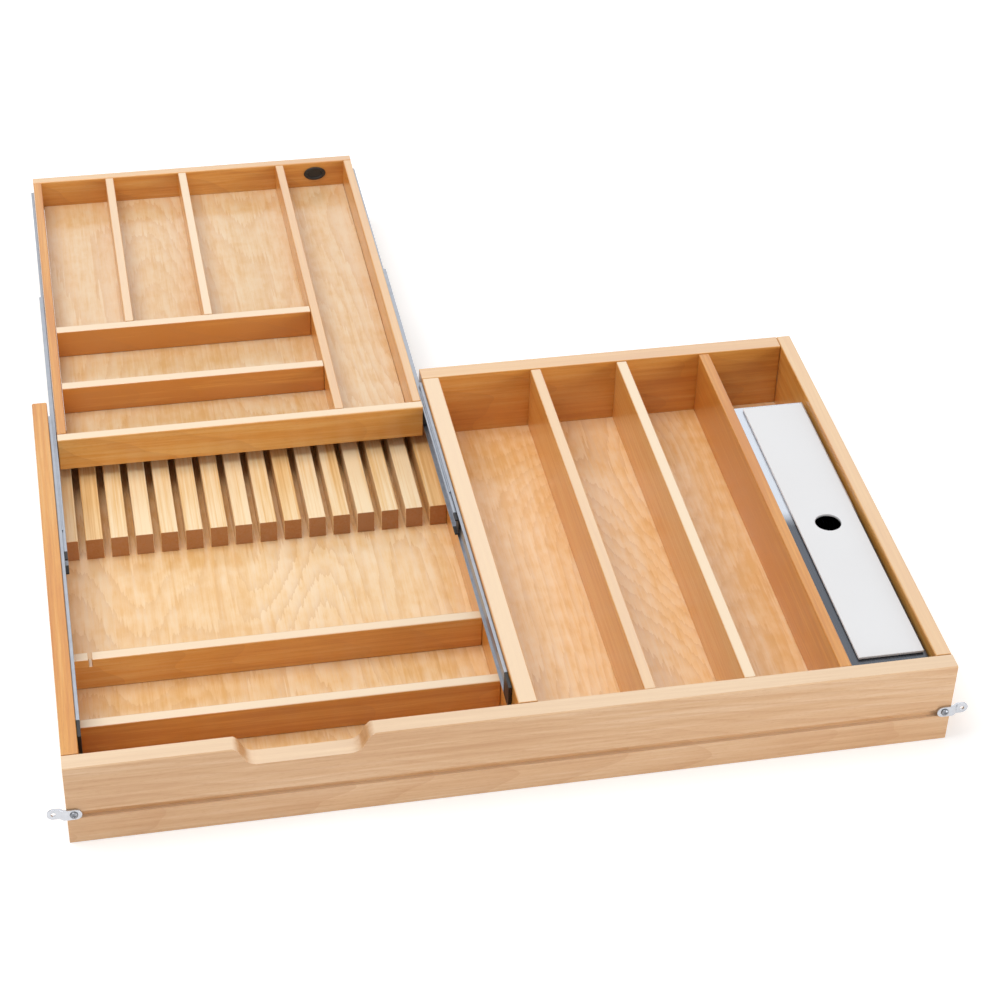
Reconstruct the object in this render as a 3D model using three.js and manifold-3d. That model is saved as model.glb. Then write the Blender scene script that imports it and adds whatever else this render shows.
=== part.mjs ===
// Wooden drawer organizer: a wide, low box whose left half has a second tier, a tray that
// runs on ball-bearing slides and is drawn here pushed all the way to the rear.
// Millimetres, +X to the right, +Y to the rear, +Z up.
// Origin: middle of the front board's bottom edge, in length and in thickness.
import * as THREE from "three";
import { mergeVertices } from "three/addons/utils/BufferGeometryUtils.js";
import Module from "manifold-3d";

const wasm = await Module();
wasm.setup();

// ---- driving dimensions -------------------------------------------------------------
const BOX_WIDTH = 845;
const BOX_DEPTH = 565;
const BOX_HEIGHT = 93;
const SIDE_THICKNESS = 16;
const FRONT_THICKNESS = 19;
const BACK_THICKNESS = 19;
const FIT = 0.3; // clearance between two pieces that touch

const PANEL_BOTTOM = 10; // underside of the bottom panel above the boards' bottom edges
const FLOOR = 16; // top of the bottom panel
const PANEL_TENON = 5.7; // how far the bottom panel reaches into the boards' grooves

const PARTITION_LEFT = -2; // left face of the centre partition
const PARTITION_THICKNESS = 19;
const DIVIDER_THICKNESS = 12;
const RIGHT_DIVIDERS_LEFT = [119, 216.4, 311]; // left faces of the right half's dividers
const RIGHT_DIVIDER_DROP = 1; // dividers end this much below the rim

const LOW_TOP = 53; // top of everything that the tray passes over
const CROSS_DIVIDERS_FRONT = { left_divider_front: 84.8, left_divider_rear: 179 };
const KNIFE_FRONT = 377;
const KNIFE_HEIGHT = 26;
const SLAT_COUNT = 16;
const SLOT_WIDTH = 7.5;

const EASE = 1.2; // chamfer on the long exposed edges of the boards
const GROOVE_CENTRE = 34.5; // height of the groove along the front face
const GROOVE_HEIGHT = 8;
const GROOVE_DEPTH = 4;
const SCOOP_DEPTH = 21;
const SCOOP_TOP_WIDTH = 132;
const SCOOP_BOTTOM_WIDTH = 104;
const SCOOP_RADIUS = 10;

const SLIDE_GAP = 7.5; // space beside the tray that a slide fills
const TRAY_LENGTH = 541;
const TRAY_TRAVEL = 473; // from fully rearward to closed
const TRAY_CLOSED_GAP = 2; // left between tray and front board when closed
const TRAY_BOTTOM = 54.5;
const TRAY_SIDE = 10;
const TRAY_END = 12;
const TRAY_PANEL = 5;
const TRAY_CROSS = 12;

const SLIDE_CENTRE = 76; // height of the slides' centre line
const SLIDE_START = 35.5; // front end of the fixed members
const SLIDE_LENGTH = 500;

const BIN = { left: 326, right: 404, front: 17.5, rear: 442.5, top: 83, wall: 1.5 };
const LID = { left: 335, right: 401, front: 25.5, rear: 436.5, thickness: 3, bearing: 6 };
const FINGER_HOLE_DIAMETER = 27;

// ---- finishes -----------------------------------------------------------------------
const finish = (color, roughness, metalness = 0) => new THREE.MeshStandardMaterial({ color, roughness, metalness });
const MAPLE = { color: 0xdcb48c, roughness: 0.45 };
const wood = (shade = 1) => {
  const material = finish(MAPLE.color, MAPLE.roughness);
  material.color.multiplyScalar(shade);
  return material;
};
const zinc = () => finish(0x9aa2ad, 0.32, 0.9);
const blackPlastic = () => finish(0x141414, 0.5);

// ---- shape helpers ------------------------------------------------------------------
const organizer = new THREE.Group();

function add(name, geometry, material) {
  const mesh = new THREE.Mesh(geometry, material);
  mesh.name = name;
  organizer.add(mesh);
  return mesh;
}

// A box given by its lowest and highest coordinate along X, Y and Z.
function block([x0, x1], [y0, y1], [z0, z1]) {
  const geometry = new THREE.BoxGeometry(x1 - x0, y1 - y0, z1 - z0);
  return geometry.translate((x0 + x1) / 2, (y0 + y1) / 2, (z0 + z1) / 2);
}

const asShape = (outline) => (outline instanceof THREE.Shape
  ? outline
  : new THREE.Shape(outline.map(([u, v]) => new THREE.Vector2(u, v))));

// An outline in X and Z, or in X and Y, or in Y and Z, drawn out along the third axis.
function drawnOut(outline, along, from, to, curveSegments = 6) {
  const options = { depth: to - from, bevelEnabled: false, curveSegments };
  const geometry = new THREE.ExtrudeGeometry(asShape(outline), options);
  const [x, y, z] = [[1, 0, 0], [0, 1, 0], [0, 0, 1]].map((axis) => new THREE.Vector3(...axis));
  if (along === "x") {
    geometry.applyMatrix4(new THREE.Matrix4().makeBasis(y, z, x)).translate(from, 0, 0);
  } else if (along === "y") {
    geometry.applyMatrix4(new THREE.Matrix4().makeBasis(x, z, y.negate())).translate(0, to, 0);
  } else {
    geometry.translate(0, 0, from);
  }
  return geometry;
}

function toSolid(geometry) {
  const bare = geometry.clone();
  bare.deleteAttribute("normal");
  bare.deleteAttribute("uv");
  const merged = mergeVertices(bare, 1e-4);
  const vertProperties = new Float32Array(merged.attributes.position.array);
  const triVerts = new Uint32Array(merged.index.array);
  return new wasm.Manifold(new wasm.Mesh({ numProp: 3, vertProperties, triVerts }));
}

function toGeometry(solid) {
  const { vertProperties, triVerts } = solid.getMesh();
  const geometry = new THREE.BufferGeometry();
  geometry.setAttribute("position", new THREE.BufferAttribute(vertProperties, 3));
  geometry.setIndex(new THREE.BufferAttribute(triVerts, 1));
  return geometry;
}

function cut(geometry, ...tools) {
  return toGeometry(tools.reduce((solid, tool) => solid.subtract(toSolid(tool)), toSolid(geometry)));
}

// A turned piece whose axis runs along Y; profile points are [radius, y].
function turned(profile, segments, [x, y, z]) {
  const points = profile.map(([radius, along]) => new THREE.Vector2(radius, along));
  return new THREE.LatheGeometry(points, segments).translate(x, y, z);
}

// A round drill along Y for holes.
function drill(diameter, [x, z], [from, to], segments = 20) {
  const geometry = new THREE.CylinderGeometry(diameter / 2, diameter / 2, to - from, segments);
  return geometry.translate(x, (from + to) / 2, z);
}

// ---- the box's planes ---------------------------------------------------------------
const left = -BOX_WIDTH / 2;
const right = BOX_WIDTH / 2;
const innerLeft = left + SIDE_THICKNESS;
const innerRight = right - SIDE_THICKNESS;
const frontFace = -FRONT_THICKNESS / 2;
const innerFront = FRONT_THICKNESS / 2;
const rearFace = frontFace + BOX_DEPTH;
const innerRear = rearFace - BACK_THICKNESS;
const insideY = [innerFront + FIT, innerRear - FIT];

// ---- bottom panel and the groove that holds it ----------------------------------------
const panelX = [innerLeft - PANEL_TENON, innerRight + PANEL_TENON];
const panelY = [innerFront - PANEL_TENON, innerRear + PANEL_TENON];
const grown = ([low, high]) => [low - FIT, high + FIT];
const panelGroove = block(grown(panelX), grown(panelY), grown([PANEL_BOTTOM, FLOOR]));
add("drawer_bottom", block(panelX, panelY, [PANEL_BOTTOM, FLOOR]), wood(1.05));

// ---- front board: finger scoop over the left half, a groove along the face ---------------
const CLIP_HEIGHT = 37; // centre line of the front clips
const CLIP_SCREW_INSET = 6.5; // clip screw's distance from the end of the front board

function easedProfile([u0, u1], [v0, v1], chamfer) {
  return [[u0, v0], [u1, v0], [u1, v1 - chamfer], [u1 - chamfer, v1], [u0 + chamfer, v1], [u0, v1 - chamfer]];
}

function scoopOutline(centre) {
  const [top, bottom] = [BOX_HEIGHT, BOX_HEIGHT - SCOOP_DEPTH];
  const [wide, narrow] = [SCOOP_TOP_WIDTH / 2, SCOOP_BOTTOM_WIDTH / 2];
  const r = SCOOP_RADIUS;
  const shape = new THREE.Shape();
  shape.moveTo(centre - wide, top + r);
  shape.lineTo(centre - wide, top);
  shape.quadraticCurveTo(centre - wide + r / 2, top - 1, centre - wide + r * 0.8, top - r * 0.7);
  shape.lineTo(centre - narrow - 2, bottom + r * 0.6);
  shape.quadraticCurveTo(centre - narrow + 2, bottom, centre - narrow + r, bottom);
  shape.lineTo(centre + narrow - r, bottom);
  shape.quadraticCurveTo(centre + narrow - 2, bottom, centre + narrow + 2, bottom + r * 0.6);
  shape.lineTo(centre + wide - r * 0.8, top - r * 0.7);
  shape.quadraticCurveTo(centre + wide - r / 2, top - 1, centre + wide, top);
  shape.lineTo(centre + wide, top + r);
  return shape;
}

const leftBayCentre = (innerLeft + PARTITION_LEFT) / 2;
const frontProfile = easedProfile([frontFace, innerFront], [0, BOX_HEIGHT], EASE);
const faceGroove = block(
  [left - 1, right + 1],
  [frontFace - 1, frontFace + GROOVE_DEPTH],
  [GROOVE_CENTRE - GROOVE_HEIGHT / 2, GROOVE_CENTRE + GROOVE_HEIGHT / 2],
);
const clipScrewX = [left + CLIP_SCREW_INSET, right - CLIP_SCREW_INSET];
const clipPilots = clipScrewX.map((x) => drill(4.2, [x, CLIP_HEIGHT], [frontFace - 1, frontFace + 14], 12));
add("drawer_front", cut(
  drawnOut(frontProfile, "x", left, right),
  drawnOut(scoopOutline(leftBayCentre), "y", frontFace - 1, innerFront + 1),
  faceGroove,
  panelGroove,
  ...clipPilots,
), wood());

// ---- sides, back and centre partition --------------------------------------------------
const sideY = [innerFront + FIT, rearFace];
for (const [name, xRange] of [["drawer_side_left", [left, innerLeft]], ["drawer_side_right", [innerRight, right]]]) {
  const profile = easedProfile(xRange, [0, BOX_HEIGHT], EASE);
  add(name, cut(drawnOut(profile, "y", ...sideY), panelGroove), wood(0.98));
}

// The back is cut down behind the left half, so that the tray can run out over it.
const backOutline = [
  [innerLeft + FIT, 0], [innerRight - FIT, 0], [innerRight - FIT, BOX_HEIGHT],
  [PARTITION_LEFT, BOX_HEIGHT], [PARTITION_LEFT, LOW_TOP], [innerLeft + FIT, LOW_TOP],
];
add("drawer_back", cut(drawnOut(backOutline, "y", innerRear, rearFace), panelGroove), wood(0.97));

const partitionX = [PARTITION_LEFT, PARTITION_LEFT + PARTITION_THICKNESS];
add("center_partition", drawnOut(easedProfile(partitionX, [FLOOR + FIT, BOX_HEIGHT], EASE), "y", ...insideY), wood(1.02));

// ---- dividers of the right half ----------------------------------------------------------
RIGHT_DIVIDERS_LEFT.forEach((x, index) => {
  const top = BOX_HEIGHT - RIGHT_DIVIDER_DROP;
  const profile = easedProfile([x, x + DIVIDER_THICKNESS], [FLOOR + FIT, top], 1);
  add(`right_divider_${index + 1}`, drawnOut(profile, "y", ...insideY), wood(1.02));
});

// ---- low cross dividers and knife block of the left half ---------------------------------
const KERF = { fromWall: 17, width: 3.5, depth: 9 }; // saw kerf near the rear divider's left end
const bayX = [innerLeft + FIT, PARTITION_LEFT - FIT];
for (const [name, y] of Object.entries(CROSS_DIVIDERS_FRONT)) {
  const divider = drawnOut(easedProfile([y, y + DIVIDER_THICKNESS], [FLOOR + FIT, LOW_TOP], 1), "x", ...bayX);
  const kerfX = [innerLeft + KERF.fromWall, innerLeft + KERF.fromWall + KERF.width];
  const kerf = block(kerfX, [y - 1, y + DIVIDER_THICKNESS + 1], [LOW_TOP - KERF.depth, LOW_TOP + 1]);
  add(name, name === "left_divider_rear" ? cut(divider, kerf) : divider, wood(1.04));
}

const slatWidth = (bayX[1] - bayX[0] - (SLAT_COUNT - 1) * SLOT_WIDTH) / SLAT_COUNT;
for (let i = 0; i < SLAT_COUNT; i += 1) {
  const x = bayX[0] + i * (slatWidth + SLOT_WIDTH);
  const profile = easedProfile([x, x + slatWidth], [FLOOR + FIT, FLOOR + KNIFE_HEIGHT], 0.8);
  const name = `knife_slat_${String(i + 1).padStart(2, "0")}`;
  add(name, drawnOut(profile, "y", KNIFE_FRONT, insideY[1]), wood(1 + 0.05 * Math.sin(i * 2.4)));
}

// ---- lift-out bin with its loose lid -------------------------------------------------------
const opening = {
  x: [LID.left + LID.bearing, LID.right - LID.bearing],
  y: [LID.front + LID.bearing, LID.rear - LID.bearing],
};
const shrunk = ([low, high], by) => [low + by, high - by];
const binCavity = block(
  shrunk([BIN.left, BIN.right], BIN.wall),
  shrunk([BIN.front, BIN.rear], BIN.wall),
  shrunk([FLOOR + FIT, BIN.top], BIN.wall),
);
const binMouth = block(opening.x, opening.y, [BIN.top - 2 * BIN.wall, BIN.top + 1]);
add("storage_bin", cut(
  block([BIN.left, BIN.right], [BIN.front, BIN.rear], [FLOOR + FIT, BIN.top]),
  binCavity,
  binMouth,
), finish(0x8d929b, 0.3, 0.9));

const LID_LIP = { clearance: 1, width: 2, depth: 3 }; // rib under the lid that centres it in the mouth
const lidBottom = BIN.top + FIT;
const lidTop = lidBottom + LID.thickness;
const lidCentre = [(LID.left + LID.right) / 2, (LID.front + LID.rear) / 2];
const ribX = shrunk(opening.x, LID_LIP.clearance);
const ribY = shrunk(opening.y, LID_LIP.clearance);
const lidPlate = toSolid(block([LID.left, LID.right], [LID.front, LID.rear], [lidBottom, lidTop]));
const lidRib = toSolid(block(ribX, ribY, [lidBottom - LID_LIP.depth, lidBottom + 1])).subtract(
  toSolid(block(shrunk(ribX, LID_LIP.width), shrunk(ribY, LID_LIP.width), [lidBottom - 4, lidBottom])),
);
const fingerHole = new THREE.CylinderGeometry(FINGER_HOLE_DIAMETER / 2, FINGER_HOLE_DIAMETER / 2, 20, 32);
fingerHole.rotateX(Math.PI / 2).translate(...lidCentre, lidTop);
add("bin_lid", toGeometry(lidPlate.add(lidRib).subtract(toSolid(fingerHole))), finish(0xececf0, 0.35));

// ---- upper tray ----------------------------------------------------------------------------
const trayLeft = innerLeft + SLIDE_GAP;
const trayRight = PARTITION_LEFT - SLIDE_GAP;
const trayFront = innerFront + TRAY_CLOSED_GAP + TRAY_TRAVEL;
const trayRear = trayFront + TRAY_LENGTH;
const trayZ = [TRAY_BOTTOM, BOX_HEIGHT];
const trayFloor = TRAY_BOTTOM + TRAY_PANEL;
const trayInsideX = shrunk([trayLeft, trayRight], TRAY_SIDE);
const trayInsideY = shrunk([trayFront, trayRear], TRAY_END);
const GROMMET = { x: -54.9, z: 77.5, hole: 22, flange: 27, height: 18, flangeThickness: 1.8 };

// Flattens a round shape about the grommet's centre line into an oval that lies along the board.
function oval(geometry) {
  const squash = GROMMET.height / GROMMET.flange;
  return geometry.translate(0, 0, -GROMMET.z).scale(1, 1, squash).translate(0, 0, GROMMET.z);
}

const trayEnd = (yRange) => drawnOut(easedProfile(yRange, trayZ, EASE), "x", trayLeft, trayRight);
add("tray_front", trayEnd([trayFront, trayFront + TRAY_END]), wood());
const grommetHole = drill(GROMMET.hole, [GROMMET.x, GROMMET.z], [trayRear - TRAY_END - 1, trayRear + 1], 28);
add("tray_back", cut(trayEnd([trayRear - TRAY_END, trayRear]), oval(grommetHole)), wood(0.98));
for (const [name, x] of [["tray_side_left", trayLeft], ["tray_side_right", trayRight - TRAY_SIDE]]) {
  const profile = easedProfile([x, x + TRAY_SIDE], trayZ, EASE);
  add(name, drawnOut(profile, "y", ...shrunk(trayInsideY, FIT)), wood(0.99));
}
const trayPanel = block(shrunk(trayInsideX, FIT), shrunk(trayInsideY, FIT), [TRAY_BOTTOM, trayFloor]);
add("tray_bottom", trayPanel, wood(1.05));

const TRAY_DIVIDERS_LEFT = { tray_divider_left: -312.3, tray_divider_middle: -223.8, tray_divider_long: -103.9 };
const TRAY_CROSS_FRONT = { tray_cross_front: 577.7, tray_cross_rear: 686.5 };
const trayDividerZ = [trayFloor + FIT, BOX_HEIGHT - 0.5];
for (const [name, x] of Object.entries(TRAY_DIVIDERS_LEFT)) {
  const full = name === "tray_divider_long";
  const start = full ? trayInsideY[0] : TRAY_CROSS_FRONT.tray_cross_rear + TRAY_CROSS;
  const profile = easedProfile([x, x + TRAY_SIDE], trayDividerZ, 0.8);
  add(name, drawnOut(profile, "y", start + FIT, trayInsideY[1] - FIT), wood(1.03));
}
for (const [name, y] of Object.entries(TRAY_CROSS_FRONT)) {
  const xRange = [trayInsideX[0] + FIT, TRAY_DIVIDERS_LEFT.tray_divider_long - FIT];
  add(name, drawnOut(easedProfile([y, y + TRAY_CROSS], trayDividerZ, 0.8), "x", ...xRange), wood(1.03));
}

// Oval rubber grommet in the tray's back: flange inside, barrel through the wall, closed diaphragm.
const barrel = GROMMET.hole / 2 - FIT;
const diaphragm = 2.5;
const grommetProfile = [
  [0, 0], [barrel - 2, 0], [barrel - 1, -GROMMET.flangeThickness], [GROMMET.flange / 2 - 0.6, -GROMMET.flangeThickness],
  [GROMMET.flange / 2, -GROMMET.flangeThickness / 2], [GROMMET.flange / 2, -FIT], [barrel, -FIT],
  [barrel, TRAY_END], [barrel - 2, TRAY_END], [barrel - 2, diaphragm], [0, diaphragm],
];
const grommetAt = [GROMMET.x, trayRear - TRAY_END, GROMMET.z];
add("tray_grommet", oval(turned(grommetProfile, 28, grommetAt)), blackPlastic());

// ---- ball-bearing slides ----------------------------------------------------------------------
// Each member is a channel. Its section is given by how far its web starts and ends from the
// wooden wall that carries the fixed member, how far its flanges reach, and its half height.
const SECTIONS = {
  fixed: { web: [0.3, 1.1], tip: 3.6, half: 13, flange: 1 },
  outer_cage: { web: [1.4, 1.9], tip: 4.8, half: 11.7, flange: 1.4 },
  middle: { web: [2.2, 3], tip: 6.9, half: 10, flange: 0.8 },
  inner_cage: { web: [3.3, 3.7], tip: 6.1, half: 8.9, flange: 1.4 },
  catch: { web: [2.2, 3.7], tip: 6.9, half: 10, flange: 2.2 },
};
// The tray's own member opens the other way, so its web lies against the tray.
const INNER = { web: [6.4, 7.2], tip: 4, half: 7.2, flange: 0.8 };

function channelOutline(wall, side, { web, tip, half, flange }) {
  const [back, inside] = tip > web[1] ? web : [web[1], web[0]];
  const points = [
    [back, -half], [tip, -half], [tip, flange - half], [inside, flange - half],
    [inside, half - flange], [tip, half - flange], [tip, half], [back, half],
  ];
  return points.map(([u, v]) => [wall + side * u, SLIDE_CENTRE + v]);
}

// Stations along Y with the tray fully rearward: [start, end].
const open = TRAY_TRAVEL;
const middleClosed = [SLIDE_START + 36, SLIDE_START + SLIDE_LENGTH];
const innerClosed = [SLIDE_START + 5, SLIDE_START + SLIDE_LENGTH];
const shifted = ([low, high], by) => [low + by, high + by];
const middleY = shifted(middleClosed, open / 2);
const innerY = shifted(innerClosed, open);
const CAGE_LENGTH = 180;
const bumperEnd = SLIDE_START + 22; // the black bumper caps the front end of each fixed member
const outerCageY = [rearFace - 215, rearFace - 215 + CAGE_LENGTH];
const innerCageY = [innerY[0] + 37, innerY[0] + 37 + CAGE_LENGTH];

for (const [hand, wall, side] of [["left", innerLeft, 1], ["right", PARTITION_LEFT, -1]]) {
  const member = (section, yRange) => drawnOut(channelOutline(wall, side, section), "y", ...yRange);
  const slab = (u, half, yRange) => {
    const x = [wall + side * u[0], wall + side * u[1]].sort((a, b) => a - b);
    return block(x, yRange, [SLIDE_CENTRE - half, SLIDE_CENTRE + half]);
  };
  add(`slide_fixed_${hand}`, member(SECTIONS.fixed, [bumperEnd + FIT, SLIDE_START + SLIDE_LENGTH]), zinc());
  add(`slide_middle_${hand}`, member(SECTIONS.middle, middleY), zinc());
  add(`slide_inner_${hand}`, member(INNER, innerY), zinc());
  add(`ball_cage_outer_${hand}`, member(SECTIONS.outer_cage, outerCageY), zinc());
  add(`ball_cage_inner_${hand}`, member(SECTIONS.inner_cage, innerCageY), zinc());
  add(`slide_bumper_${hand}`, slab([0.3, 3.7], 13, [SLIDE_START, bumperEnd]), blackPlastic());
  add(`slide_catch_${hand}`, member(SECTIONS.catch, [middleY[0] - 12.3, middleY[0] - FIT]), blackPlastic());
  add(`slide_tip_${hand}`, slab([4, 7.2], 7.2, [trayFront + 0.5, innerY[0] - FIT]), blackPlastic());
}

// ---- front clips with their screws ---------------------------------------------------------------
const CLIP = { inset: 14, reach: 18, half: 6, thickness: 2, setback: 3, hole: 4.5 };

for (const [hand, end, out] of [["left", left, -1], ["right", right, 1]]) {
  const face = frontFace - FIT; // the clip lies on the front board's face
  const plan = [
    [end - out * CLIP.inset, face], [end + out * 2, face], [end + out * 6, face + CLIP.setback],
    [end + out * CLIP.reach, face + CLIP.setback], [end + out * CLIP.reach, face + CLIP.setback - CLIP.thickness],
    [end + out * 7, face + CLIP.setback - CLIP.thickness], [end + out * 3, face - CLIP.thickness],
    [end - out * CLIP.inset, face - CLIP.thickness],
  ];
  const [low, high] = [CLIP_HEIGHT - CLIP.half, CLIP_HEIGHT + CLIP.half];
  const orientedPlan = out > 0 ? [...plan].reverse() : plan;
  const strap = toSolid(drawnOut(orientedPlan, "z", low, high));
  const rounded = new THREE.Shape();
  const [inner, outer] = [end - out * (CLIP.inset - CLIP.half), end + out * (CLIP.reach - CLIP.half)];
  const [x0, x1] = [Math.min(inner, outer), Math.max(inner, outer)];
  rounded.absarc(x1, CLIP_HEIGHT, CLIP.half, -Math.PI / 2, Math.PI / 2, false);
  rounded.absarc(x0, CLIP_HEIGHT, CLIP.half, Math.PI / 2, (3 * Math.PI) / 2, false);
  const stadium = toSolid(drawnOut(rounded, "y", face - 10, face + 10, 10));
  const screwX = end - out * CLIP_SCREW_INSET;
  const screwHole = toSolid(drill(CLIP.hole, [screwX, CLIP_HEIGHT], [face - 5, face + 5], 16));
  const earHole = toSolid(drill(CLIP.hole, [end + out * 12, CLIP_HEIGHT], [face - 5, face + 8], 16));
  const clip = strap.intersect(stadium).subtract(screwHole).subtract(earHole);
  add(`front_clip_${hand}`, toGeometry(clip), finish(0xd2d5dc, 0.28, 0.85));

  const headBase = face - CLIP.thickness - FIT;
  const screw = [[0, -2], [2, -2], [3.4, -1.2], [3.9, 0], [1.7, 0], [1.7, 13], [0, 15]];
  add(`clip_screw_${hand}`, turned(screw, 16, [screwX, headBase, CLIP_HEIGHT]), finish(0x6f747c, 0.35, 0.9));
}

export default organizer;
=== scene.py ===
# A maple drawer organizer: a wide low box whose left half has a second tier, a tray that runs on
# ball-bearing slides. Metres, +X to the right, +Y to the rear, +Z up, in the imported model's frame.
import math
import random

import bmesh
import bpy
from mathutils import Matrix, Vector


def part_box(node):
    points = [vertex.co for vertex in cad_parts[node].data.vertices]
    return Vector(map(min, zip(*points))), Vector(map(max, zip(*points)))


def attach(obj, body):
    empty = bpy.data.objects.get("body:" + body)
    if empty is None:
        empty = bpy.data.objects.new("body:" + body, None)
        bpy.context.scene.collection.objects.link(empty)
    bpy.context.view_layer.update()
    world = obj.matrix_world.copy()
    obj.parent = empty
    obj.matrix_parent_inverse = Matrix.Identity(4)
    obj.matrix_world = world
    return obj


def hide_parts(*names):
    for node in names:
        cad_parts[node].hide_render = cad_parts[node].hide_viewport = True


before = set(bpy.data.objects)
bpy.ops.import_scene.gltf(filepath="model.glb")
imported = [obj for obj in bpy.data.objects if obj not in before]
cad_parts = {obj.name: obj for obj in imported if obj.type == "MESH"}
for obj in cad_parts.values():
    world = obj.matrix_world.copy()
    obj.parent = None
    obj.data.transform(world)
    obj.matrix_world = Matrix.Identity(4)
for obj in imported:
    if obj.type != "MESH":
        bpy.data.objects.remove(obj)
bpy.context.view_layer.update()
scene = bpy.context.scene

# ---- studio -------------------------------------------------------------------------------------
# A white floor under a white surround, which the lacquer mirrors. One softbox hangs overhead to the
# left, a wide one leans in from behind, and a small one stands low at the front right.
SOFTBOXES = {
    "softbox_top": {"at": (-1.1, 0.5, 2.9), "aim": (0, 0.3, 0), "size": (2.2, 2.2), "watts": 57},
    "softbox_rear": {"at": (0.75, 3.4, 2.35), "aim": (0, 0.3, 0), "size": (4.2, 1.7), "watts": 9},
    "softbox_front": {"at": (2.5, -2.2, 0.8), "aim": (0, 0.1, 0), "size": (1.8, 1.2), "watts": 46},
}
SURROUND_LIGHT = 0.48  # the surround's strength as a lamp; a camera or mirror ray sees it at 1
FLOOR_WHITE = 0.86
FLOOR_LIFT = 0.35  # glow that brings the seen floor up to white and leaves the shadow on it
FLOOR_HALF = 14
FLOOR_DROP = 0.0003


class Shade:
    """One output of a shader node. Arithmetic on it adds Math nodes, node() adds any other kind."""

    def __init__(self, tree, socket=None):
        self.tree = tree
        self.socket = socket

    def node(self, kind, settings=(), sockets=(), out=0):
        """A new node with these settings, or a ramp's stops, and these values or links of its inputs."""
        made = self.tree.nodes.new("ShaderNode" + kind)
        for key, value in dict(settings).items():
            if key == "stops":
                elements = made.color_ramp.elements
                for place, _ in value[1:-1]:
                    elements.new(place)
                elements[0].position = value[0][0]
                elements[-1].position = value[-1][0]
                for element, (_, colour) in zip(elements, value):
                    element.color = (*colour, 1)
            else:
                setattr(made, key, value)
        for key, value in dict(sockets).items():
            if isinstance(value, Shade):
                self.tree.links.new(value.socket, made.inputs[key])
            else:
                made.inputs[key].default_value = value
        return Shade(self.tree, made.outputs[out] if made.outputs else None)

    def math(self, operation, *others):
        """This value under a Math node's operation, with others as the node's further inputs."""
        return self.node("Math", {"operation": operation}, enumerate((self, *others)))

    def __add__(self, other):
        return self.math("ADD", other)

    __radd__ = __add__

    def __sub__(self, other):
        return self.math("SUBTRACT", other)

    def __rsub__(self, other):
        return self.node("Math", {"operation": "SUBTRACT"}, {0: other, 1: self})

    def __mul__(self, other):
        return self.math("MULTIPLY", other)

    __rmul__ = __mul__

    def __truediv__(self, other):
        return self.math("DIVIDE", other)

    def __pow__(self, other):
        return self.math("POWER", other)

    def __abs__(self):
        return self.math("ABSOLUTE")

    def stretched(self, along, across, up):
        """The coordinate scaled differently along each axis."""
        return self.node("VectorMath", {"operation": "MULTIPLY"}, {0: self, 1: (along, across, up)})

    def noise(self, scale=1.0, detail=2.0):
        """Smooth noise at this coordinate, from 0 to 1."""
        return self.node("TexNoise", {}, {"Vector": self, "Scale": scale, "Detail": detail})

    def blend(self, first, second):
        """A colour between first and second, with this value as the factor."""
        return self.node("Mix", {"data_type": "RGBA"}, {0: self, 6: first, 7: second}, out=2)

    def between(self, low, high):
        """This value from 0 to 1, taken to the range from low to high."""
        return self * (high - low) + low


def painted(name):
    """A new material, returned with the shade that its nodes are made from."""
    material = bpy.data.materials.new(name)
    material.use_nodes = True
    material.node_tree.nodes.clear()
    return material, Shade(material.node_tree)


def surfaced(start, sockets):
    """Ends a material in one Principled shader with these sockets."""
    shader = start.node("BsdfPrincipled", {}, sockets)
    start.node("OutputMaterial", {}, {"Surface": shader})


def seen(start):
    """1 where a camera, mirror or glass ray meets the surface, 0 for light that it gives."""
    camera_ray = start.node("LightPath", out="Is Camera Ray")
    mirror_ray = start.node("LightPath", out="Is Glossy Ray")
    glass_ray = start.node("LightPath", out="Is Transmission Ray")
    return camera_ray.math("MAXIMUM", mirror_ray.math("MAXIMUM", glass_ray))


CAMERA_AT = Vector((-0.3888, -1.6286, 1.6500))
CAMERA_ANGLES = (12.48, 38.075, 2.081)  # turned to the right, dipped and rolled, in degrees
CAMERA_LENS = 88.57  # millimetres, as the sensor's width is
SENSOR_WIDTH = 36
turn, dip, roll = (math.radians(angle) for angle in CAMERA_ANGLES)
ahead = Vector((math.sin(turn) * math.cos(dip), math.cos(turn) * math.cos(dip), -math.sin(dip)))
sideways = Vector((math.cos(turn), -math.sin(turn), 0))
upright = Matrix((sideways, sideways.cross(ahead), -ahead)).transposed()
camera_data = bpy.data.cameras.new("camera")
camera_data.lens = CAMERA_LENS
camera_data.sensor_width = SENSOR_WIDTH
camera_data.clip_end = 60
camera = bpy.data.objects.new("camera", camera_data)
camera.matrix_world = Matrix.Translation(CAMERA_AT) @ (upright @ Matrix.Rotation(roll, 3, "Z")).to_4x4()
scene.collection.objects.link(camera)
scene.camera = camera
scene.view_settings.view_transform = "Standard"

for name, box in SOFTBOXES.items():
    lamp = bpy.data.lights.new(name, "AREA")
    lamp.shape = "RECTANGLE"
    lamp.size, lamp.size_y = box["size"]
    lamp.energy = box["watts"]
    holder = bpy.data.objects.new(name, lamp)
    holder.location = box["at"]
    holder.rotation_euler = (Vector(box["aim"]) - Vector(box["at"])).to_track_quat("-Z", "Y").to_euler()
    scene.collection.objects.link(holder)

scene.world = bpy.data.worlds.new("surround")
scene.world.use_nodes = True
scene.world.node_tree.nodes.clear()
sky = Shade(scene.world.node_tree)
strength = seen(sky).between(SURROUND_LIGHT, 1)
background = sky.node("Background", {}, {"Color": (1, 1, 1, 1), "Strength": strength})
sky.node("OutputWorld", {}, {"Surface": background})

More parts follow.
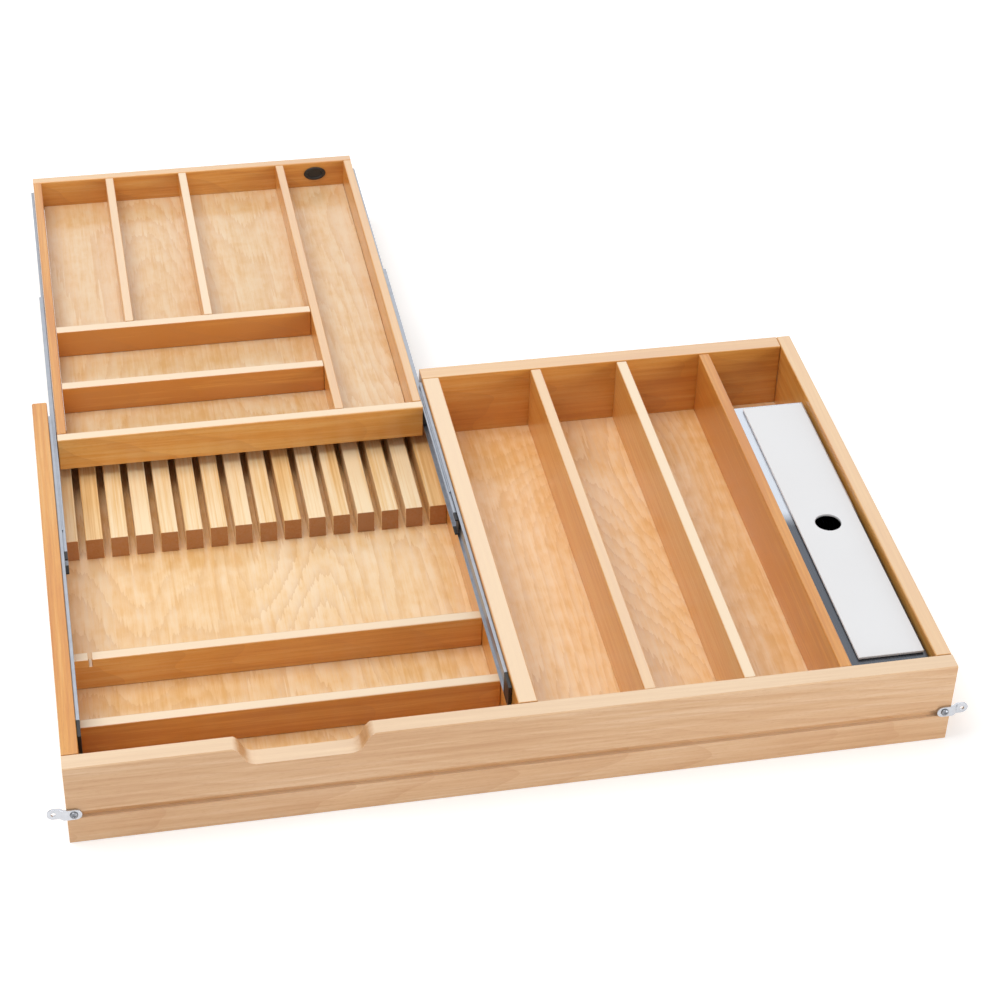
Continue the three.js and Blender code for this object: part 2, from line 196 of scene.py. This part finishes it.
floor_paint, start = painted("studio_white")
surfaced(start, {
    "Base Color": (FLOOR_WHITE, FLOOR_WHITE, FLOOR_WHITE, 1),
    "Roughness": 0.9,
    "Specular IOR Level": 0.1,
    "Emission Color": seen(start) * FLOOR_LIFT,
    "Emission Strength": 1.0,
})
sheet = bmesh.new()
bmesh.ops.create_grid(sheet, x_segments=2, y_segments=2, size=FLOOR_HALF)
bmesh.ops.translate(sheet, verts=sheet.verts, vec=(0, 0, -FLOOR_DROP))
floor_mesh = bpy.data.meshes.new("studio_floor")
sheet.to_mesh(floor_mesh)
sheet.free()
floor_mesh.materials.append(floor_paint)
studio_floor = bpy.data.objects.new("studio_floor", floor_mesh)
scene.collection.objects.link(studio_floor)

# ---- bottom panel -------------------------------------------------------------------------------
# One sheet of 6 mm maple plywood under both halves. Its edges sit in a groove ploughed round the
# inside of the four boards; the face veneer is peeled, so its figure runs in broad wandering loops.
GOLDEN_PLY = [(0.83, 0.495, 0.190), (0.90, 0.612, 0.312), (0.93, 0.695, 0.435)]  # deep to pale
FIGURE_LINE = (0.60, 0.285, 0.085, 1)
DARK_PLY = (0.36, 0.19, 0.08, 1)
PLY_THICKNESS = 0.0012
PANEL_EDGE = 0.0003
CORNER = math.radians(25)  # a bend under this is part of a curve
CREASE = math.radians(40)  # shading runs smoothly over a bend under this


def merged(node):
    """A copy of a CAD node's mesh with its loose triangles welded into whole flat faces."""
    shape = bmesh.new()
    shape.from_mesh(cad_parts[node].data)
    bmesh.ops.remove_doubles(shape, verts=shape.verts, dist=1e-6)
    flat = math.radians(0.5)
    bmesh.ops.dissolve_limit(shape, angle_limit=flat, verts=shape.verts, edges=shape.edges)
    return shape


def rounded(shape, radius, segments=2, skip=None):
    """Rounds every corner edge, but for those that skip picks."""
    turned = [e for e in shape.edges if e.is_manifold and e.calc_face_angle() > CORNER]
    edges = [e for e in turned if not (skip and skip(e))]
    bmesh.ops.bevel(
        shape, geom=edges, offset=radius, offset_type="OFFSET", segments=segments,
        profile=0.5, affect="EDGES", material=-1, clamp_overlap=True,
    )
    return shape


def placed(name, shape, material, body, nodes=()):
    """Turns a bmesh into a named piece that rides on a body and stands for CAD nodes."""
    bmesh.ops.triangulate(shape, faces=[face for face in shape.faces if len(face.verts) > 4])
    mesh = bpy.data.meshes.new(name)
    shape.to_mesh(mesh)
    shape.free()
    mesh.materials.append(material)
    piece = bpy.data.objects.new(name, mesh)
    scene.collection.objects.link(piece)
    mesh.shade_smooth()
    mesh.set_sharp_from_angle(angle=CREASE)
    even = piece.modifiers.new("even_shading", "WEIGHTED_NORMAL")
    even.keep_sharp = True
    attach(piece, body)
    if nodes:
        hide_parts(*nodes)


def along_grain(start, along, shift):
    """Object coordinates turned so that their X runs with the grain, moved to a spot in the log."""
    own = start.node("TexCoord", out="Object")
    turned = (0, 0, -math.pi / 2) if along == "y" else (0, 0, 0)
    return start.node("Mapping", {}, {"Vector": own, "Location": shift, "Rotation": turned})


def veneer(name, seed, tones):
    """Peeled maple veneer under satin lacquer, with its plies showing on the panel's edges."""
    material, start = painted(name)
    spot = random.Random(seed)
    grain = along_grain(start, "y", [spot.uniform(-3, 3) for _ in range(3)])
    cloud = grain.stretched(2.2, 7, 7).noise(detail=3)
    streak = grain.stretched(7, 120, 120).noise(detail=3)
    line = grain.stretched(12, 340, 340).noise(detail=3)
    loops = grain.stretched(1.5, 5.5, 5.5).noise(detail=1) * 34 + line * 0.9
    late = loops.math("FRACT") ** 3
    fibre = grain.stretched(45, 1500, 1500).noise(detail=2)
    curl = grain.stretched(38, 9, 9).noise(detail=2)
    blister = grain.stretched(60, 110, 110).noise(detail=2)
    broad = cloud * 0.65 + streak * 0.45 + line * 0.4
    shade = broad + fibre * 0.25 + curl * 0.25 + blister * 0.45 - 0.725
    stops = list(zip((0.3, 0.5, 0.7), tones))
    tone = shade.node("ValToRGB", {"stops": stops}, {0: shade})
    lined = (late * cloud * 0.55).blend(tone, FIGURE_LINE)
    height = start.node("SeparateXYZ", {}, {0: start.node("TexCoord", out="Object")}, out=2)
    ply = (height / PLY_THICKNESS * math.pi).math("SINE").math("GREATER_THAN", 0)
    normal = start.node("TexCoord", out="Normal")
    edge = 1 - abs(start.node("SeparateXYZ", {}, {0: normal}, out=2))
    relief = fibre * 0.6 + late * 0.15
    surfaced(start, {
        "Base Color": (edge * ply * 0.55).blend(lined, DARK_PLY),
        "Roughness": fibre.between(0.32, 0.44),
        "Normal": start.node("Bump", {}, {"Height": relief, "Strength": 0.12, "Distance": 0.0003}),
        "Coat Weight": 0.6,
        "Coat Roughness": 0.14,
        "Coat IOR": 1.55,
    })
    return material


placed("bottom_panel", rounded(merged("drawer_bottom"), PANEL_EDGE, 1),
       veneer("ply_bottom", 11, GOLDEN_PLY), "box", ["drawer_bottom"])

# ---- front board --------------------------------------------------------------------------------
# Solid maple, 19 mm thick, butted over the ends of the sides. A finger scoop is routed out of its
# top over the left half and a groove runs along its face; the arrises are eased by hand.
HONEY = [(0.66, 0.240, 0.028), (0.80, 0.365, 0.062), (0.88, 0.500, 0.145)]  # deep to pale
CREAM = [(0.63, 0.360, 0.165), (0.76, 0.485, 0.255), (0.86, 0.610, 0.370)]
LATEWOOD = (0.46, 0.175, 0.040, 1)
# the pale colour of a painted highlight on the faces that look up
PAINTED_SHEEN = (0.90, 0.72, 0.51, 1)
SAWN_END = (0.45, 0.22, 0.075, 1)
RING = 0.0042  # one year's growth
ARRIS = 0.0008
GROOVE_HEIGHTS = (0.0095, 0.0165)  # the boards' edges between these heights belong to the groove


def in_groove(edge):
    """True for the edges of the groove round the bottom panel, which stay as the cutter left them."""
    return all(GROOVE_HEIGHTS[0] < v.co.z < GROOVE_HEIGHTS[1] for v in edge.verts)


def end_grain(start, along):
    """1 on the sawn ends of a board, 0 on its faces."""
    normal = start.node("TexCoord", out="Normal")
    axis = "XY".index(along.upper())
    return abs(start.node("SeparateXYZ", {}, {0: normal}, out=axis)) ** 6


def maple(name, along, seed, tone=0.0, top_sheen=0.55, tones=HONEY):
    """Sawn maple: year rings round a heart that lies off the board, fibres, flecks and satin lacquer.
    tone above 0 is paler, and top_sheen is how far the surfaces that face up are paled by a painted
    sheen."""
    material, start = painted(name)
    spot = random.Random(seed)
    grain = along_grain(start, along, [spot.uniform(-4, 4) for _ in range(3)])
    own = along_grain(start, along, (0, 0, 0))
    heart_across = spot.uniform(0.09, 0.16)
    heart_up = spot.uniform(-0.03, 0.03)
    lean = spot.uniform(0.02, 0.05)
    length = start.node("SeparateXYZ", {}, {0: own}, out=0)
    across = start.node("SeparateXYZ", {}, {0: own}, out=1)
    up = start.node("SeparateXYZ", {}, {0: own}, out=2)
    wander = grain.stretched(3, 12, 12).noise(detail=2).between(-0.010, 0.010)
    off_across = across + heart_across + length * lean + wander
    off_up = up + heart_up
    radius = (off_across * off_across + off_up * off_up) ** 0.5
    late = (radius / RING).math("FRACT") ** 3
    cloud = grain.stretched(2.5, 16, 16).noise(detail=2)
    streak = grain.stretched(5, 150, 150).noise(detail=3)
    line = grain.stretched(10, 360, 360).noise(detail=3)
    fibre = grain.stretched(40, 1400, 1400).noise(detail=2)
    fleck = grain.stretched(160, 1900, 1900).noise(detail=0).math("GREATER_THAN", 0.7)
    shade = cloud * 0.6 + streak * 0.6 + line * 0.5 + fibre * 0.3 - 0.5 + tone
    stops = list(zip((0.28, 0.5, 0.72), tones))
    plain = shade.node("ValToRGB", {"stops": stops}, {0: shade})
    ringed = (late * cloud * 0.45).blend(plain, LATEWOOD)
    flecked = (fleck * 0.15 + 0.28).blend(ringed, LATEWOOD)
    sawn = (end_grain(start, along) * 0.45).blend(flecked, SAWN_END)
    # Painted highlight: faces that look up are blended towards a pale colour that stands in for the
    # light's sheen on the tops.
    facing_up = start.node("SeparateXYZ", {}, {0: start.node("TexCoord", out="Normal")}, out=2)
    top = facing_up.math("MAXIMUM", 0) ** 4
    relief = fibre * 0.6 + late * 0.15
    surfaced(start, {
        "Base Color": (top * top_sheen).blend(sawn, PAINTED_SHEEN),
        "Roughness": fibre.between(0.33, 0.46),
        "Normal": start.node("Bump", {}, {"Height": relief, "Strength": 0.15, "Distance": 0.0003}),
        "Coat Weight": 0.7,
        "Coat Roughness": 0.2,
        "Coat IOR": 1.55,
    })
    return material


placed("front_board", rounded(merged("drawer_front"), ARRIS, skip=in_groove),
       maple("maple_front", "x", 21, tones=CREAM), "box", ["drawer_front"])

# ---- sides and back -----------------------------------------------------------------------------
# Maple boards glued and pinned behind the front; the back sits between the sides and is cut down
# behind the left half so that the tray can run out over it.
OUTER_BOARDS = {  # node, run of the grain, tone, painted sheen on the faces that look up
    "side_board_left": ("drawer_side_left", "y", 0.0, 0.0),
    "side_board_right": ("drawer_side_right", "y", 0.02, 0.55),
    "back_board": ("drawer_back", "x", -0.03, 0.5),
}
for seed, (name, (node, along, tone, top_sheen)) in enumerate(OUTER_BOARDS.items(), 31):
    placed(name, rounded(merged(node), ARRIS, skip=in_groove),
           maple("maple_" + name, along, seed, tone, top_sheen), "box", [node])

# ---- centre partition and dividers --------------------------------------------------------------
# Maple boards that stand on the bottom panel between front and back, and two low cross dividers
# in the left half that end under the tray; the rear one keeps a saw kerf near its left end.
DIVIDERS = {  # node, run of the grain, tone, painted sheen on the faces that look up
    "partition_board": ("center_partition", "y", 0.04, 0.8),
    "divider_board_1": ("right_divider_1", "y", 0.0, 0.65),
    "divider_board_2": ("right_divider_2", "y", 0.12, 0.95),
    "divider_board_3": ("right_divider_3", "y", -0.16, 0.0),
    "low_divider_front": ("left_divider_front", "x", -0.08, 0.95),
    "low_divider_rear": ("left_divider_rear", "x", 0.05, 0.9),
}
for seed, (name, (node, along, tone, top_sheen)) in enumerate(DIVIDERS.items(), 41):
    placed(name, rounded(merged(node), ARRIS), maple("maple_" + name, along, seed, tone, top_sheen),
           "box", [node])

# ---- knife block --------------------------------------------------------------------------------
# Sixteen maple strips stood side by side with a knife's width between them, glued to the bottom
# panel. They are offcuts, so each has its own tone and straight, lively grain.
STRIPS = 16
STRIP_EDGE = 0.0005
STRIP_SEED = 3
STRIP_JUMP = (7, 5, 3)  # how far apart in the log two strips of unlike tone lie
STRIP_TONES = [(0.25, (0.70, 0.38, 0.125)), (0.5, (0.85, 0.56, 0.255)), (0.75, (0.93, 0.72, 0.45))]
# sawn ends: darker as end grain is, and darkened further as painted shade for the block's front, which
# lies in shade
END_GRAIN_AND_SHADE = (0.34, 0.105, 0.016, 1)
first_low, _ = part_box("knife_slat_01")
second_low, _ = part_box("knife_slat_02")
strip_pitch = second_low.x - first_low.x
strip_paint, start = painted("knife_strips")
own = start.node("TexCoord", out="Object")
strip = ((start.node("SeparateXYZ", {}, {0: own}) - first_low.x) / strip_pitch).math("FLOOR")
tint = start.node("TexWhiteNoise", {"noise_dimensions": "1D"}, {"W": strip + STRIP_SEED})
log = start.node("VectorMath", {"operation": "MULTIPLY_ADD"}, {0: tint, 1: STRIP_JUMP, 2: own})
streak = log.stretched(160, 6, 160).noise(detail=3)
line = log.stretched(420, 5, 420).noise(detail=2)
fibre = log.stretched(1500, 45, 1500).noise(detail=2)
shade = tint * 0.35 + streak * 0.6 + line * 0.8 + fibre * 0.2 - 0.37
strip_tone = shade.node("ValToRGB", {"stops": STRIP_TONES}, {0: shade})
relief = line * 0.5 + fibre
surfaced(start, {
    # The sawn ends are darkened partly as real end grain and partly as painted shade on the shaded front
    # of the block.
    "Base Color": (end_grain(start, "y") * 0.88).blend(strip_tone, END_GRAIN_AND_SHADE),
    "Roughness": fibre.between(0.35, 0.5),
    "Normal": start.node("Bump", {}, {"Height": relief, "Strength": 0.15, "Distance": 0.0003}),
    "Coat Weight": 0.4,
    "Coat Roughness": 0.22,
})
for number in range(1, STRIPS + 1):
    node = f"knife_slat_{number:02d}"
    placed(f"knife_strip_{number:02d}", rounded(merged(node), STRIP_EDGE), strip_paint,
           "box", [node])

# ---- lift-out bin -------------------------------------------------------------------------------
# A folded steel box with a flange turned in round its mouth, blued all over, with a painted reflection
# of a bright light that makes it pale towards the rear. It lifts out, and drops into the right-hand bay.
BIN_EDGE = 0.0006
REFLECTION_START = 0.255
REFLECTION_FADE = 0.03
BLUED = [(0.070, 0.078, 0.092, 1), (0.140, 0.152, 0.175, 1)]
# the pale blue of a painted reflection of a bright light, on the rear part of the bin
PAINTED_REFLECTION = (0.55, 0.59, 0.65, 1)
bin_paint, start = painted("bin_steel")
own = start.node("TexCoord", out="Object")
brushed = own.stretched(900, 25, 900).noise(detail=2)
smudge = own.noise(scale=14, detail=3)
blued = (brushed * 0.6 + smudge * 0.4).blend(*BLUED)
# Painted reflection: behind a line across the bin, the dark steel turns to the pale blue of a reflected
# light.
reflection_place = start.node("SeparateXYZ", {}, {0: own}, out=1) + smudge * 0.04
smooth = {"interpolation_type": "SMOOTHSTEP"}
reflection_mask = reflection_place.node("MapRange", smooth, {0: reflection_place, 1: REFLECTION_START, 2: REFLECTION_START + REFLECTION_FADE})
surfaced(start, {
    "Base Color": reflection_mask.blend(blued, PAINTED_REFLECTION),
    "Metallic": 1.0,
    "Roughness": brushed * 0.12 + smudge * 0.1 + 0.16,
    "Normal": start.node("Bump", {}, {"Height": brushed, "Strength": 0.08, "Distance": 0.0002}),
})
placed("bin_shell", rounded(merged("storage_bin"), BIN_EDGE), bin_paint,
       "bin", ["storage_bin"])

# ---- bin lid ------------------------------------------------------------------------------------
# A loose white plate with a rib below that centres it in the bin's mouth and one finger hole,
# powder-coated, so its gloss has a slight orange peel.
LID_EDGE = 0.0007
POWDER_WHITE = [(0.74, 0.74, 0.75, 1), (0.79, 0.795, 0.81, 1)]
lid_paint, start = painted("lid_powder_coat")
own = start.node("TexCoord", out="Object")
peel = own.noise(scale=900, detail=1)
cast = own.noise(scale=9, detail=2)
surfaced(start, {
    "Base Color": cast.blend(*POWDER_WHITE),
    "Roughness": cast.between(0.26, 0.36),
    "Normal": start.node("Bump", {}, {"Height": peel, "Strength": 0.1, "Distance": 0.0002}),
    "Coat Weight": 0.3,
    "Coat Roughness": 0.12,
})
placed("lid_plate", rounded(merged("bin_lid"), LID_EDGE, 3), lid_paint, "lid", ["bin_lid"])

# ---- tray ---------------------------------------------------------------------------------------
# The upper tier: thin maple walls round a plywood panel, with the ends lapped over the sides, and
# dividers let in flush with the rim. Everything here moves with the tray.
WHEATEN_PLY = [(0.72, 0.440, 0.180), (0.78, 0.545, 0.295), (0.81, 0.625, 0.400)]
placed("tray_panel", rounded(merged("tray_bottom"), PANEL_EDGE, 1),
       veneer("ply_tray", 51, WHEATEN_PLY), "tray", ["tray_bottom"])
TRAY_BOARDS = {  # node, run of the grain, tone, painted sheen on the faces that look up
    "tray_board_front": ("tray_front", "x", 0.12, 0.9),
    "tray_board_back": ("tray_back", "x", -0.04, 0.5),
    "tray_board_left": ("tray_side_left", "y", -0.06, 0.0),
    "tray_board_right": ("tray_side_right", "y", 0.04, 0.5),
    "tray_partition_left": ("tray_divider_left", "y", 0.03, 0.7),
    "tray_partition_middle": ("tray_divider_middle", "y", 0.04, 0.9),
    "tray_partition_long": ("tray_divider_long", "y", 0.0, 0.5),
    "tray_crosspiece_front": ("tray_cross_front", "x", -0.2, 0.9),
    "tray_crosspiece_rear": ("tray_cross_rear", "x", -0.2, 0.9),
}
for seed, (name, (node, along, tone, top_sheen)) in enumerate(TRAY_BOARDS.items(), 61):
    placed(name, rounded(merged(node), ARRIS), maple("maple_" + name, along, seed, tone, top_sheen),
           "tray", [node])

# ---- grommet ------------------------------------------------------------------------------------
# An oval grommet of black rubber with a closed skin, pushed into a slot in the tray's back from the
# inside, where its flange covers the cut edge.
RUBBER_EDGE = 0.0003
RUBBER_BLACK = [(0.012, 0.011, 0.010, 1), (0.035, 0.031, 0.028, 1)]
rubber, start = painted("black_rubber")
dust = start.node("TexCoord", out="Object").noise(scale=260, detail=3)
surfaced(start, {
    "Base Color": dust.blend(*RUBBER_BLACK),
    "Roughness": dust.between(0.5, 0.7),
    "Normal": start.node("Bump", {}, {"Height": dust, "Strength": 0.15, "Distance": 0.0002}),
})
placed("grommet_ring", rounded(merged("tray_grommet"), RUBBER_EDGE), rubber,
       "tray", ["tray_grommet"])

# ---- ball-bearing slides ------------------------------------------------------------------------
# Three rolled and zinc-plated channels a side: one screwed to the box, one to the tray, and the one
# between runs half as far. Plastic stops sit at their ends, and steel balls in cages between them.
ROLLED_EDGE = 0.00025
CAGE_EDGE = 0.0001
STOP_EDGE = 0.0004
ZINC = [(0.31, 0.335, 0.38, 1), (0.44, 0.47, 0.52, 1)]
PLASTIC_BLACK = [(0.010, 0.010, 0.011, 1), (0.022, 0.022, 0.024, 1)]
zinc, start = painted("zinc_plate")
own = start.node("TexCoord", out="Object")
drawn = own.stretched(700, 12, 700).noise(detail=2)
bloom = own.noise(scale=120, detail=3)
surfaced(start, {
    "Base Color": bloom.blend(*ZINC),
    "Metallic": 1.0,
    "Roughness": drawn * 0.14 + bloom * 0.12 + 0.26,
    "Normal": start.node("Bump", {}, {"Height": drawn, "Strength": 0.1, "Distance": 0.0002}),
})
plastic, start = painted("black_plastic")
mould = start.node("TexCoord", out="Object").noise(scale=900, detail=2)
surfaced(start, {
    "Base Color": mould.blend(*PLASTIC_BLACK),
    "Roughness": mould.between(0.38, 0.52),
    "Normal": start.node("Bump", {}, {"Height": mould, "Strength": 0.1, "Distance": 0.0001}),
})
CHANNELS = {  # node, body, edge radius
    "rail_fixed": ("slide_fixed", "box", ROLLED_EDGE),
    "rail_middle": ("slide_middle", "slide_middle", ROLLED_EDGE),
    "rail_inner": ("slide_inner", "tray", ROLLED_EDGE),
    "cage_outer": ("ball_cage_outer", "ball_cage_outer", CAGE_EDGE),
    "cage_inner": ("ball_cage_inner", "ball_cage_inner", CAGE_EDGE),
}
STOPS = {
    "bumper": ("slide_bumper", "box", STOP_EDGE),
    "catch": ("slide_catch", "slide_middle", STOP_EDGE),
    "tip": ("slide_tip", "tray", STOP_EDGE),
}
for hand in ("left", "right"):
    for pieces, material, slot in ((CHANNELS, zinc, "zinc_plate"), (STOPS, plastic, "black_plastic")):
        for name, (node, body, radius) in pieces.items():
            rides = body if body in ("box", "tray") else f"{body}_{hand}"
            placed(f"{name}_{hand}", rounded(merged(f"{node}_{hand}"), radius), material,
                   rides, [f"{node}_{hand}"])

# ---- front clips --------------------------------------------------------------------------------
# Bright steel ears at both ends of the front board that catch the cabinet drawer's rails, each
# held by a dark pan-head screw.
CLIP_EDGE = 0.0003
SCREW_EDGE = 0.00015
BRIGHT_STEEL = [(0.47, 0.49, 0.53, 1), (0.64, 0.66, 0.70, 1)]
DARK_STEEL = [(0.18, 0.19, 0.21, 1), (0.33, 0.34, 0.37, 1)]
UP = Vector((0, 0, 1))
bright, start = painted("bright_steel")
wear = start.node("TexCoord", out="Object").noise(scale=200, detail=3)
surfaced(start, {
    "Base Color": wear.blend(*BRIGHT_STEEL),
    "Metallic": 1.0,
    "Roughness": wear.between(0.14, 0.3),
    "Normal": start.node("Bump", {}, {"Height": wear, "Strength": 0.08, "Distance": 0.0002}),
})
dark_steel, start = painted("screw_steel")
wear = start.node("TexCoord", out="Object").noise(scale=300, detail=3)
surfaced(start, {
    "Base Color": wear.blend(*DARK_STEEL),
    "Metallic": 1.0,
    "Roughness": wear.between(0.25, 0.42),
    "Normal": start.node("Bump", {}, {"Height": wear, "Strength": 0.1, "Distance": 0.0001}),
})


def cross_recess(shape, outward, reach, width, depth):
    """Sinks a driver's cross into the flat top of a screw head that looks outward. Each arm
    reaches this far from the middle, is this wide, and narrows a little towards its floor."""
    flats = [f for f in shape.faces if f.normal.dot(outward) > 0.99]
    top = max(flats, key=lambda f: f.calc_center_median().dot(outward))
    middle = top.calc_center_median()
    rim = max((v.co - middle).length for v in top.verts)
    bmesh.ops.inset_individual(shape, faces=[top], thickness=rim - reach)

    def on_disc(vert):
        offset = vert.co - middle
        return abs(offset.dot(outward)) < 1e-6 and offset.length < reach * 1.01

    def inside():
        return [f for f in shape.faces if all(on_disc(v) for v in f.verts)]

    def on_arm(face):
        offset = face.calc_center_median() - middle
        return any(abs(offset.dot(arm)) < width / 2 for arm in arms)

    arms = (UP, outward.cross(UP))
    for arm in arms:
        for side in (-1, 1):
            faces = inside()
            around = [*faces, *{e for f in faces for e in f.edges}, *{v for f in faces for v in f.verts}]
            wall = middle + arm * side * width / 2
            bmesh.ops.bisect_plane(shape, geom=around, plane_co=wall, plane_no=arm)
    cross = [f for f in inside() if on_arm(f)]
    bmesh.ops.inset_region(shape, faces=cross, thickness=width * 0.12, depth=-depth, use_even_offset=True)


for hand in ("left", "right"):
    placed(f"clip_ear_{hand}", rounded(merged(f"front_clip_{hand}"), CLIP_EDGE), bright,
           "box", [f"front_clip_{hand}"])
    head = rounded(merged(f"clip_screw_{hand}"), SCREW_EDGE)
    cross_recess(head, Vector((0, -1, 0)), reach=0.0016, width=0.0008, depth=0.001)
    placed(f"clip_fixing_{hand}", head, dark_steel, "box", [f"clip_screw_{hand}"])

# ---- screws in the slides -----------------------------------------------------------------------
# Flat-headed steel screws hold each fixed channel to its wall and each inner one to the tray. The
# heads in the fixed channels are sunk almost flush, so that the ball cages run over them.
HEAD_RADIUS = 0.0034
SCREW_LINES = {  # channel: body, how far the head stands out, side of the channel, places along it
    "fixed": ("box", 0.0002, 1, (0.10, 0.45, 0.9)),
    "inner": ("tray", 0.0008, -1, (0.06, 0.35, 0.64, 0.93)),
}
WEB = 0.0008  # thickness of the channel that the screw goes through
BEHIND = 0.00005  # air between the screw and the wall behind the channel
for hand, inward in (("left", 1), ("right", -1)):
    for channel, (body, proud, way, places) in SCREW_LINES.items():
        low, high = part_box(f"slide_{channel}_{hand}")
        toward = Vector((inward * way, 0, 0))
        wall = low.x if toward.x > 0 else high.x
        heads = bmesh.new()
        for place in places:
            screw = bmesh.new()
            bmesh.ops.create_cone(screw, cap_ends=True, segments=24, radius1=HEAD_RADIUS,
                                  radius2=HEAD_RADIUS * 0.9, depth=WEB + proud)
            bmesh.ops.rotate(screw, verts=screw.verts, matrix=UP.rotation_difference(toward).to_matrix())
            cross_recess(screw, toward, reach=HEAD_RADIUS * 0.55, width=0.0009, depth=0.0005)
            middle = Vector((wall, low.y + (high.y - low.y) * place, (low.z + high.z) / 2))
            outer = toward * ((WEB + proud) / 2 + BEHIND)
            bmesh.ops.translate(screw, verts=screw.verts, vec=middle + outer)
            part = bpy.data.meshes.new("screw")
            screw.to_mesh(part)
            screw.free()
            heads.from_mesh(part)
        placed(f"{channel}_screws_{hand}", heads, dark_steel, body)

# ---- steel balls --------------------------------------------------------------------------------
# Two rows of hard steel balls run in each cage, one above and one below the channel that they
# carry. Each sits in a hole of the cage and stands a little proud on both sides.
BALL_RADIUS = 0.00095
BALLS = 9  # in each row
ROW_GAP = 0.001  # from the channel's edge to the middle of the row
for hand in ("left", "right"):
    for channel, member in (("outer", "middle"), ("inner", "inner")):
        cage_low, cage_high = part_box(f"ball_cage_{channel}_{hand}")
        low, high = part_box(f"slide_{member}_{hand}")
        row = bmesh.new()
        for number in range(BALLS):
            along = cage_low.y + (cage_high.y - cage_low.y) * (number + 0.5) / BALLS
            for height in (low.z - ROW_GAP, high.z + ROW_GAP):
                middle = Vector(((cage_low.x + cage_high.x) / 2, along, height))
                bmesh.ops.create_uvsphere(row, u_segments=10, v_segments=6, radius=BALL_RADIUS,
                                          matrix=Matrix.Translation(middle))
        placed(f"balls_{channel}_{hand}", row, bright, f"ball_cage_{channel}_{hand}")
